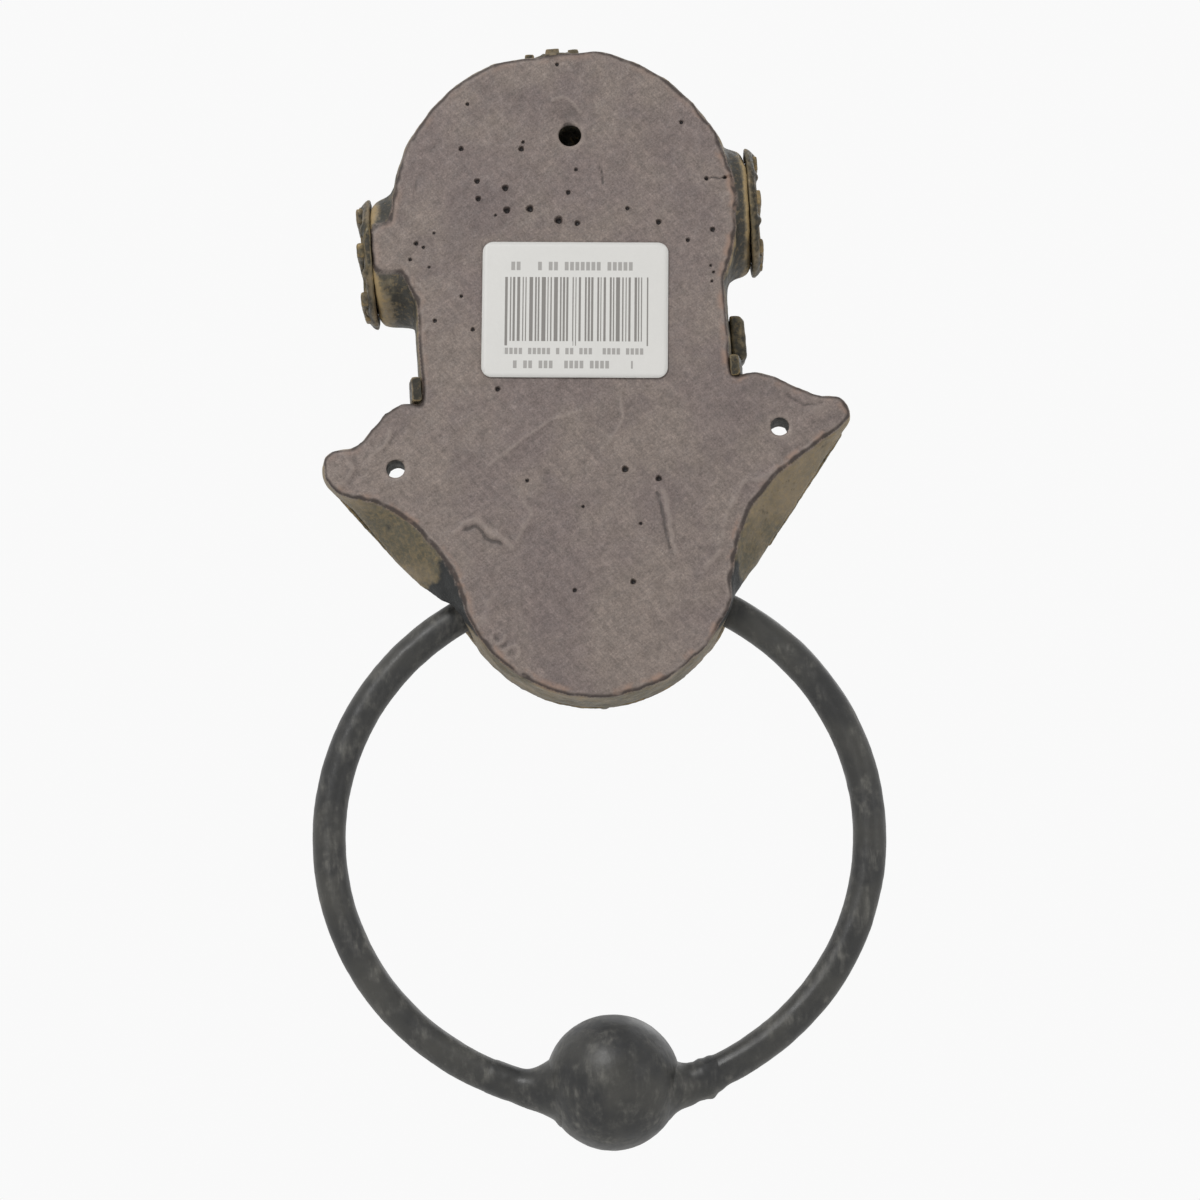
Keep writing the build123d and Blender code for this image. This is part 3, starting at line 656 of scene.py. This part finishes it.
def cast_copy(node_name, name, extras=(), voxel=FITTING_VOXEL, rounds=3, rough=0.05, limit=None):
    """A CAD node with softened edges and a slightly uneven cast skin."""
    piece = copy_of(node_name, name)
    join(piece, list(extras))
    remesh(piece, voxel)
    relax(piece, rounds)
    co = places(piece)
    out = rough * ripple(co, 3.0, len(name)) + 0.5 * rough * ripple(co, 1.0, len(name) + 1)
    co += out[:, None] * directions(piece)
    if limit is not None:
        co[:, 1] = np.minimum(co[:, 1], limit)
    put(piece, co)
    paint_relief(piece, 5)
    return piece


TOP_TILT = radians(24)        # of the top window, forward of straight up
WINDOWS = {
    # outward direction, direction of the bars, bolt radius, bolt angles from the bars' direction
    "right": ((1, 0, 0), (0, 1, 0), 1.15, (24, 72)),
    "left": ((-1, 0, 0), (0, -1, 0), 1.15, (24, 72)),
    "front": ((0, -1, 0), (1, 0, 0), 1.25, (24, 72)),
    "top": ((0, -sin(TOP_TILT), cos(TOP_TILT)), (0, cos(TOP_TILT), sin(TOP_TILT)), 0.8, (17,)),
}

# from a pane's middle to its frame's outer face
RISES = {"right": 1.15, "left": 1.15, "front": 2.05, "top": 2.05}
GUARD_SINK = 0.8              # how deep the guard's feet go into the frame


def node_middle(node_name):
    low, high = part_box(node_name)
    return (low + high) / (2 * MM)


def window_geometry(side):
    """The pane's middle, the directions out, along and across, the radii, and the frame's rise."""
    out, along = Vector(WINDOWS[side][0]), Vector(WINDOWS[side][1])
    across = out.cross(along)
    low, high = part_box(f"{side}_window_pane")
    size = (high - low) / MM
    pane_radius = abs(size.dot(across)) / 2
    middle = (low + high) / (2 * MM)
    low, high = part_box(f"{side}_window_frame")
    radius = abs(((high - low) / MM).dot(across)) / 2
    return middle, out, along, across, pane_radius, radius, RISES[side]


def window_frame(side, material):
    middle, out, along, across, pane_radius, radius, rise = window_geometry(side)
    bolt_radius, angles = WINDOWS[side][2:]
    reach = (pane_radius - 1.2 + radius) / 2
    bolts = []
    for angle in angles:
        for sign_a in (1, -1):
            for sign_b in (1, -1):
                turn = radians(angle)
                spot = sign_a * cos(turn) * along + sign_b * sin(turn) * across
                place = middle + reach * spot + (rise - 0.15) * out
                bolts.append(bolt_head(place, out, bolt_radius, 1.0))
    piece = cast_copy(f"{side}_window_frame", f"{side}_window_rim", bolts, rough=0.07, limit=-0.2)
    return finish_piece(piece, "helmet", material, [f"{side}_window_frame"])


def window_guard(side, material):
    """The guard's bars, with their feet let into the frame."""
    node_name = f"{side}_window_guard"
    piece = cast_copy(node_name, f"{side}_guard_bars", voxel=0.32, rounds=5, rough=0.08, limit=-0.1)
    low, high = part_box(node_name)
    co = np.clip(places(piece), np.array(low) / MM, np.array(high) / MM)
    middle, out, *_, rise = window_geometry(side)
    foot = (co - np.array(middle)) @ np.array(out) < rise + 0.5
    put(piece, co - GUARD_SINK * foot[:, None] * np.array(out))
    return finish_piece(piece, "helmet", material, [node_name])


def window_pane(side, material):
    """A domed light, thinner at its rim."""
    middle, out, along, across, pane_radius, _, rise = window_geometry(side)
    dome = rise - 0.55
    radius = pane_radius - 0.05
    rings, turns = 14, 56
    verts = [middle + dome * out]
    for ring in range(1, rings + 1):
        share = ring / rings
        for step in range(turns):
            angle = 2 * pi * step / turns
            spot = cos(angle) * along + sin(angle) * across
            height = dome - (dome - 0.1) * share**2
            verts.append(middle + share * radius * spot + height * out)
    base = len(verts)
    verts += [v - 0.65 * out for v in verts[-turns:]]
    verts.append(middle - 0.55 * out)
    faces = [(0, 1 + step, 1 + (step + 1) % turns) for step in range(turns)]
    for row in range(rings):
        start = 1 + row * turns
        for step in range(turns):
            after = (step + 1) % turns
            faces.append((start + step, start + turns + step, start + turns + after, start + after))
    faces += [(base + (step + 1) % turns, base + step, base + turns) for step in range(turns)]
    piece = mesh_object(f"{side}_light", [v * MM for v in verts], faces)
    return finish_piece(piece, "helmet", material, [f"{side}_window_pane"])


def neck_fittings(material):
    low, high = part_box("neck_ring")
    radius = (high.x - low.x) / (2 * MM)
    middle_x = (low.x + high.x) / (2 * MM)
    middle_y = low.y / MM + radius
    bolts = []
    for angle in (16, 32, 66, 76, 104, 116, 146):
        out = Vector((-cos(radians(angle)), -sin(radians(angle)), 0))
        place = Vector((middle_x, middle_y, (low.z + high.z) / (2 * MM))) + (radius - 0.4) * out
        bolts.append(bolt_head(place, out, 1.3, 1.1))
    ring = cast_copy("neck_ring", "neck_band", bolts, rough=0.1, limit=-0.2)
    finish_piece(ring, "helmet", material, ["neck_ring"])
    lugs = cast_copy("neck_lugs", "neck_clamps", rounds=5, rough=0.12, limit=-0.2)
    finish_piece(lugs, "helmet", material, ["neck_lugs"])


def straps(material):
    for side in ("right", "left", "bottom"):
        strap = cast_copy(f"{side}_brail", f"{side}_strap", rough=0.1)
        finish_piece(strap, "helmet", material, [f"{side}_brail"])
    nuts = cast_copy("brail_wing_nuts", "strap_wing_nuts", voxel=0.28, rounds=4, rough=0.05)
    finish_piece(nuts, "helmet", material, ["brail_wing_nuts"])


def front_fittings(material):
    hinge = cast_copy("front_window_hinge", "window_hinge", voxel=0.3, rough=0.06)
    finish_piece(hinge, "helmet", material, ["front_window_hinge"])
    clamp = cast_copy("front_window_clamp", "window_clamp", voxel=0.3, rough=0.05)
    finish_piece(clamp, "helmet", material, ["front_window_clamp"])


def pivot_bushes(material):
    for side in ("right", "left"):
        bush = frame["nodes"][f"{side}_pivot_bush"]
        bush.data.materials.clear()
        bush.data.materials.append(material)


# ---------------------------------------------------------------- ring and ball
# The ring is an oval of four tangent arcs in a plane through the pivots, as in the CAD.
ROD_R = 3.6
BALL_R = 14.3
RING_HALF_WIDTH = 57.6
RING_HALF_HEIGHT = 55.7
RING_DROP = 49.0
OVAL_SHIFT = (RING_HALF_WIDTH - RING_HALF_HEIGHT) / (2 - sqrt(2))
OVAL_END_R = RING_HALF_HEIGHT + OVAL_SHIFT

# the sleeves beside the ball, measured along the rod from the ball's middle
SLEEVE_START = 9.0
FLARE_STOP = 27.5
FERRULE_STOP = 25.0


def sleeve(name, node_name, sign, settle, stop, profile, material):
    """A sleeve of changing radius round the rod beside the ball, on the +X or -X side.

    Its inner end is centred on the ball, so that it stays inside it, and from settle on it is
    centred on the rod.
    """
    joint = frame["joints"][0]
    origin = Vector(joint["pos_m"]) / MM
    right = -Vector(joint["axis"])
    forward = Vector((0, 1, 0))
    up = right.cross(forward)
    arc_middle = origin + (OVAL_SHIFT - RING_DROP) * up
    ball = node_middle("striker_ball") - origin
    ball_x = ball.dot(right)
    ball_rise = RING_DROP + RING_HALF_HEIGHT + ball.dot(up)
    rows, turns = 60, 48
    verts = []
    for row in range(rows + 1):
        along = SLEEVE_START + (stop - SLEEVE_START) * row / rows
        turn = (sign * along + ball_x) / OVAL_END_R
        outward = sin(turn) * right - cos(turn) * up
        middle = arc_middle + OVAL_END_R * outward
        middle -= ball_rise * (1 - float(smoothly(SLEEVE_START, settle, along))) * outward
        for step in range(turns):
            angle = 2 * pi * step / turns
            spoke = cos(angle) * outward + sin(angle) * forward
            verts.append(middle + float(profile(along, angle)) * spoke)
    inner_end = tuple(range(turns))
    outer_end = tuple(rows * turns + step for step in range(turns))
    faces = [inner_end[::sign], outer_end[::-sign]]
    for row in range(rows):
        near, far = row * turns, (row + 1) * turns
        for step in range(turns):
            after = (step + 1) % turns
            faces.append((near + step, near + after, far + after, far + step)[::-sign])
    piece = mesh_object(name, [v * MM for v in verts], faces)
    co = places(piece)
    put(piece, co + (0.07 * ripple(co, 2.6, 41))[:, None] * directions(piece))
    paint_relief(piece, 5)
    return finish_piece(piece, "ring", material, [node_name])


def fillet(along, join, end, power):
    """A radius that follows just inside the ball as far as join, then falls to the rod's at end."""
    inside = BALL_R - 0.15
    if along < join:
        drawn_in = 0.9 * (1 - float(smoothly(SLEEVE_START, SLEEVE_START + 1.6, along)))
        return sqrt(inside**2 - along**2) - drawn_in
    start = sqrt(inside**2 - join**2)
    share = max((end - along) / (end - join), 0.0)
    return ROD_R + 0.1 + (start - ROD_R - 0.1) * share**power


def flare(along, angle):
    """A long smooth taper from the ball down to the rod, a little uneven."""
    tail = smoothly(FLARE_STOP, FLARE_STOP - 1.5, along)
    return fillet(along, 11.6, 21.5, 1.9) - 0.25 * (1 - tail) + 0.08 * sin(angle + 0.2 * along)


def weld_and_ferrule(along, angle):
    """A weld fillet at the ball, then a low lumpy ferrule that tapers off."""
    lump = 0.5 * np.exp(-(((along - 19.5) / 2.0) ** 2)) * (1 + 0.8 * cos(angle - 0.3))
    waves = 0.06 * sin(2.6 * along) * smoothly(17, 19, along) * (1 + sin(angle * 2 + 1))
    thick = smoothly(13.0, 16.5, along) - smoothly(FERRULE_STOP - 4.0, FERRULE_STOP - 0.2, along)
    return fillet(along, 11.5, 18.5, 1.8) - 0.25 + thick * (0.45 + lump + waves)


def ring_and_ball(material):
    rod = cast_copy("ring_rod", "ring", voxel=0.55, rounds=2, rough=0.0)
    co = places(rod)
    free = smoothly(30, 36, abs(co[:, 0]) + 2 * np.clip(-8 - co[:, 2], 0, 20))
    out = free * (0.07 * ripple(co, 7, 51) + 0.035 * ripple(co, 2, 52))
    put(rod, co + out[:, None] * directions(rod))
    finish_piece(rod, "ring", material, ["ring_rod"])
    ball = cast_copy("striker_ball", "knocker_ball", voxel=0.55, rounds=3, rough=0.05)
    co = places(ball)
    put(ball, co + (0.12 * ripple(co, 9, 53, 2))[:, None] * directions(ball))
    finish_piece(ball, "ring", material, ["striker_ball"])
    sleeve("tapered_sleeve", "tapered_collar", 1, 20.0, FLARE_STOP, flare, material)
    sleeve("ferrule", "stepped_collar", -1, 16.5, FERRULE_STOP, weld_and_ferrule, material)


# ---------------------------------------------------------------- label
LABEL_TURN = 4.4              # degrees
LABEL_WIDTH = 40.0
LABEL_HEIGHT = 30.0
LABEL_CORNER = 2.3
LABEL_THICKNESS = 0.14
MODULE = 0.33                 # width of a printed bar's unit
BAR_LEFT = 4.7 - LABEL_WIDTH / 2
BAR_MODULES = 94
BAR_PITCH = 2.7 * MODULE
BAR_TOP = 7.2
BAR_FOOT = -7.0
LONG_BAR_FOOT = -8.0

# rows of blank dashes: foot, top, left, right, pitch, seed
DASHES = (
    (8.7, 10.6, -14, 13, 1.15, 7.0),
    (-9.9, -8.5, BAR_LEFT, 15.4, 1.0, 23.0),
    (-13, -11.3, -13.5, 12.5, 1.1, 31.0),
)


def label_axes():
    """The label's middle and its own right and up, as seen from behind, in mm."""
    turn = radians(LABEL_TURN)
    middle = node_middle("barcode_label")
    return middle, Vector((-cos(turn), 0, -sin(turn))), Vector((-sin(turn), 0, cos(turn)))


def label_outline():
    half_w, half_h = LABEL_WIDTH / 2 - LABEL_CORNER, LABEL_HEIGHT / 2 - LABEL_CORNER
    points = []
    for quarter, (side_x, side_y) in enumerate(((1, 1), (-1, 1), (-1, -1), (1, -1))):
        for step in range(9):
            angle = radians(90 * (quarter + step / 8))
            x, y = side_x * half_w, side_y * half_h
            points.append((x + LABEL_CORNER * cos(angle), y + LABEL_CORNER * sin(angle)))
    return points


def barcode_label(material):
    """A paper label that follows the uneven back, with a rounded outline."""
    middle, right, up = label_axes()
    sheet = bmesh.new()
    corners = [sheet.verts.new((x * MM, y * MM, 0)) for x, y in label_outline()]
    sheet.faces.new(corners)
    spans = ((Vector((1, 0, 0)), LABEL_WIDTH), (Vector((0, 1, 0)), LABEL_HEIGHT))
    for direction, span in spans:
        for step in range(1, int(span)):
            cut = direction * (step - span / 2) * MM
            everything = sheet.verts[:] + sheet.edges[:] + sheet.faces[:]
            bmesh.ops.bisect_plane(sheet, geom=everything, plane_co=cut, plane_no=direction)
    mesh = bpy.data.meshes.new("paper_label")
    sheet.to_mesh(mesh)
    sheet.free()
    piece = bpy.data.objects.new("paper_label", mesh)
    bpy.context.scene.collection.objects.link(piece)
    flat = places(piece)
    co = np.array((middle.x, 0, middle.z)) + np.outer(flat[:, 0], right) + np.outer(flat[:, 1], up)
    half = np.maximum(abs(flat[:, 0]) - LABEL_WIDTH / 2 + 4, abs(flat[:, 1]) - LABEL_HEIGHT / 2 + 4)
    curl = 0.04 * smoothly(0, 4, half) * ripple(co, 6, 61)
    co[:, 1] = -0.1 + 0.06 * ripple(co, 12, 62, 1) + curl
    co[:, 1] = np.minimum(co[:, 1], -0.01)
    put(piece, co)
    solid = piece.modifiers.new("thickness", "SOLIDIFY")
    solid.thickness = LABEL_THICKNESS * MM
    solid.offset = -1
    graph = bpy.context.evaluated_depsgraph_get()
    piece.data = bpy.data.meshes.new_from_object(piece.evaluated_get(graph))
    piece.modifiers.clear()
    return finish_piece(piece, "helmet", material, ["barcode_label"])


def within(tree, value, low, high):
    """1 where value lies between low and high, else 0."""
    above = maths(tree, "GREATER_THAN", value, low)
    below = maths(tree, "LESS_THAN", value, high)
    return product(tree, above, below)


def random_cells(tree, value, width, seed):
    """A random number for each cell of this width along value."""
    cell = maths(tree, "FLOOR", maths(tree, "DIVIDE", value, width))
    shifted = maths(tree, "ADD", cell, seed)
    return node(tree, "TexWhiteNoise", {"W": shifted}, noise_dimensions="1D").outputs[0]


def label_material():
    """White paper with plain upright bars and rows of small blank dashes."""
    material, tree = new_material("label_paper")
    middle, right, up = label_axes()
    place = node(tree, "TexCoord").outputs["Object"]
    offset = node(tree, "VectorMath", {0: place, 1: middle * MM}, operation="SUBTRACT").outputs[0]
    u = node(tree, "VectorMath", {0: offset, 1: right / MM}, operation="DOT_PRODUCT").outputs["Value"]
    v = node(tree, "VectorMath", {0: offset, 1: up / MM}, operation="DOT_PRODUCT").outputs["Value"]

    sway = product(tree, maths(tree, "SINE", product(tree, u, 2.3)), 0.22)
    uneven = maths(tree, "ADD", u, sway)
    shifted = maths(tree, "ADD", uneven, LABEL_WIDTH)
    share = maths(tree, "FRACT", maths(tree, "DIVIDE", shifted, BAR_PITCH))
    width = maths(tree, "ADD", product(tree, random_cells(tree, uneven, BAR_PITCH, 40.0), 0.5), 0.26)
    bars = maths(tree, "LESS_THAN", share, width)
    span = within(tree, u, BAR_LEFT, BAR_LEFT + BAR_MODULES * MODULE)
    long_bars = 0.0
    for first in (0, BAR_MODULES / 2 - 2, BAR_MODULES - 3):
        start = BAR_LEFT + first * MODULE
        long_bars = maths(tree, "MAXIMUM", long_bars, within(tree, u, start, start + 3 * MODULE))
    long_rows = product(tree, long_bars, within(tree, v, LONG_BAR_FOOT, BAR_TOP))
    rows = maths(tree, "MAXIMUM", within(tree, v, BAR_FOOT, BAR_TOP), long_rows)
    ink = product(tree, bars, span, rows)
    for foot, top, left, right_end, pitch, seed in DASHES:
        printed = maths(tree, "GREATER_THAN", random_cells(tree, u, pitch, seed), 0.28)
        gap = maths(tree, "LESS_THAN", maths(tree, "FRACT", maths(tree, "DIVIDE", u, pitch)), 0.72)
        box = product(tree, within(tree, v, foot, top), within(tree, u, left, right_end))
        ink = maths(tree, "MAXIMUM", ink, product(tree, printed, gap, box, 0.7))

    fibre = clouds(tree, 0.6, detail=4, seed=2.0)
    paper = mixed(tree, clouds(tree, 9, seed=3), PAPER_LIGHT, PAPER_DARK)
    paper = mixed(tree, spread(tree, fibre, 0.3, 0.8, 0, 0.2), paper, PAPER_FIBRE)
    base = mixed(tree, product(tree, ink, 0.85), paper, INK)
    surface(tree, base, 0.42, fibre, 0.03)
    return material


# ---------------------------------------------------------------- stage, light and camera
# in metres
FLOOR_HALF = 2.5
FLOOR_HEIGHT = -0.21
WORLD_STRENGTH = 0.95
WORLD_DIMMED = 0.65           # share of it on the side the back faces

# place, target, size in metres, power in watts
LIGHTS = {
    "key": ((0.3, 0.8, 0.6), (0, 0, 0), 0.3, 5.0),
    "fill": ((-0.7, 0.6, 0.1), (0, 0, -0.05), 0.3, 0.5),
    "front": ((-0.5, -0.8, 0.6), (0, 0, 0.05), 0.6, 1.0),
}

CAMERA_PLACE = (-0.0012, 0.87, -0.1672)
CAMERA_PITCH = radians(-11)
CAMERA_ROLL = radians(4)
CAMERA_LENS = 125.5
SENSOR_WIDTH = 36.0


def stage():
    signs = ((-1, -1), (1, -1), (1, 1), (-1, 1))
    corners = [(x * FLOOR_HALF, y * FLOOR_HALF, FLOOR_HEIGHT) for x, y in signs]
    floor = mesh_object("floor", corners, [(0, 1, 2, 3)])
    material, tree = new_material("pale_floor")
    surface(tree, colour(0.80, 0.80, 0.79), 0.8)
    floor.data.materials.append(material)

    # dimmer on the side the back faces, which keeps the dark iron's shading deep
    world = bpy.data.worlds.new("studio")
    world.use_nodes = True
    tree = world.node_tree
    towards = node(tree, "SeparateXYZ", {0: node(tree, "TexCoord").outputs["Generated"]}).outputs[1]
    dimmed = spread(tree, towards, -0.1, 0.9, 1.0, WORLD_DIMMED)
    grey = node(tree, "CombineColor", {0: dimmed, 1: dimmed, 2: dimmed}).outputs[0]
    tree.links.new(grey, tree.nodes["Background"].inputs["Color"])
    tree.nodes["Background"].inputs["Strength"].default_value = WORLD_STRENGTH
    bpy.context.scene.world = world
    bpy.context.scene.view_settings.view_transform = "Standard"


def area_light(name, place, target, size, power):
    data = bpy.data.lights.new(name, "AREA")
    data.size = size
    data.energy = power
    light = bpy.data.objects.new(name, data)
    light.location = place
    light.rotation_euler = (Vector(target) - Vector(place)).to_track_quat("-Z", "Y").to_euler()
    bpy.context.scene.collection.objects.link(light)


def camera():
    """Behind the knocker and a little below it, looking up, with a slight roll."""
    forward = Vector((0, -cos(CAMERA_PITCH), -sin(CAMERA_PITCH)))
    level = Vector((-1, 0, 0))
    upright = level.cross(forward)
    right = cos(CAMERA_ROLL) * level - sin(CAMERA_ROLL) * upright
    up = sin(CAMERA_ROLL) * level + cos(CAMERA_ROLL) * upright
    data = bpy.data.cameras.new("camera")
    data.sensor_width = SENSOR_WIDTH
    data.lens = CAMERA_LENS
    data.clip_start = 0.01
    view = bpy.data.objects.new("camera", data)
    turn = Matrix((right, up, -forward)).transposed().to_4x4()
    view.matrix_world = Matrix.Translation(CAMERA_PLACE) @ turn
    bpy.context.scene.collection.objects.link(view)
    bpy.context.scene.camera = view


# ---------------------------------------------------------------- the whole knocker
def build():
    camera()
    stage()
    for name, settings in LIGHTS.items():
        area_light(name, *settings)
    dark_bronze = bronze_material("dark_bronze_paint", 0.05, 0.3)
    gilt_bronze = bronze_material("gilt_bronze_paint", 0.2, 0.2)
    glaze = glaze_material()
    body_casting()
    for side in WINDOWS:
        window_frame(side, dark_bronze)
        window_guard(side, gilt_bronze)
        window_pane(side, glaze)
    neck_fittings(dark_bronze)
    straps(gilt_bronze)
    front_fittings(gilt_bronze)
    pivot_bushes(brass_material())
    ring_and_ball(iron_material())
    barcode_label(label_material())


build()
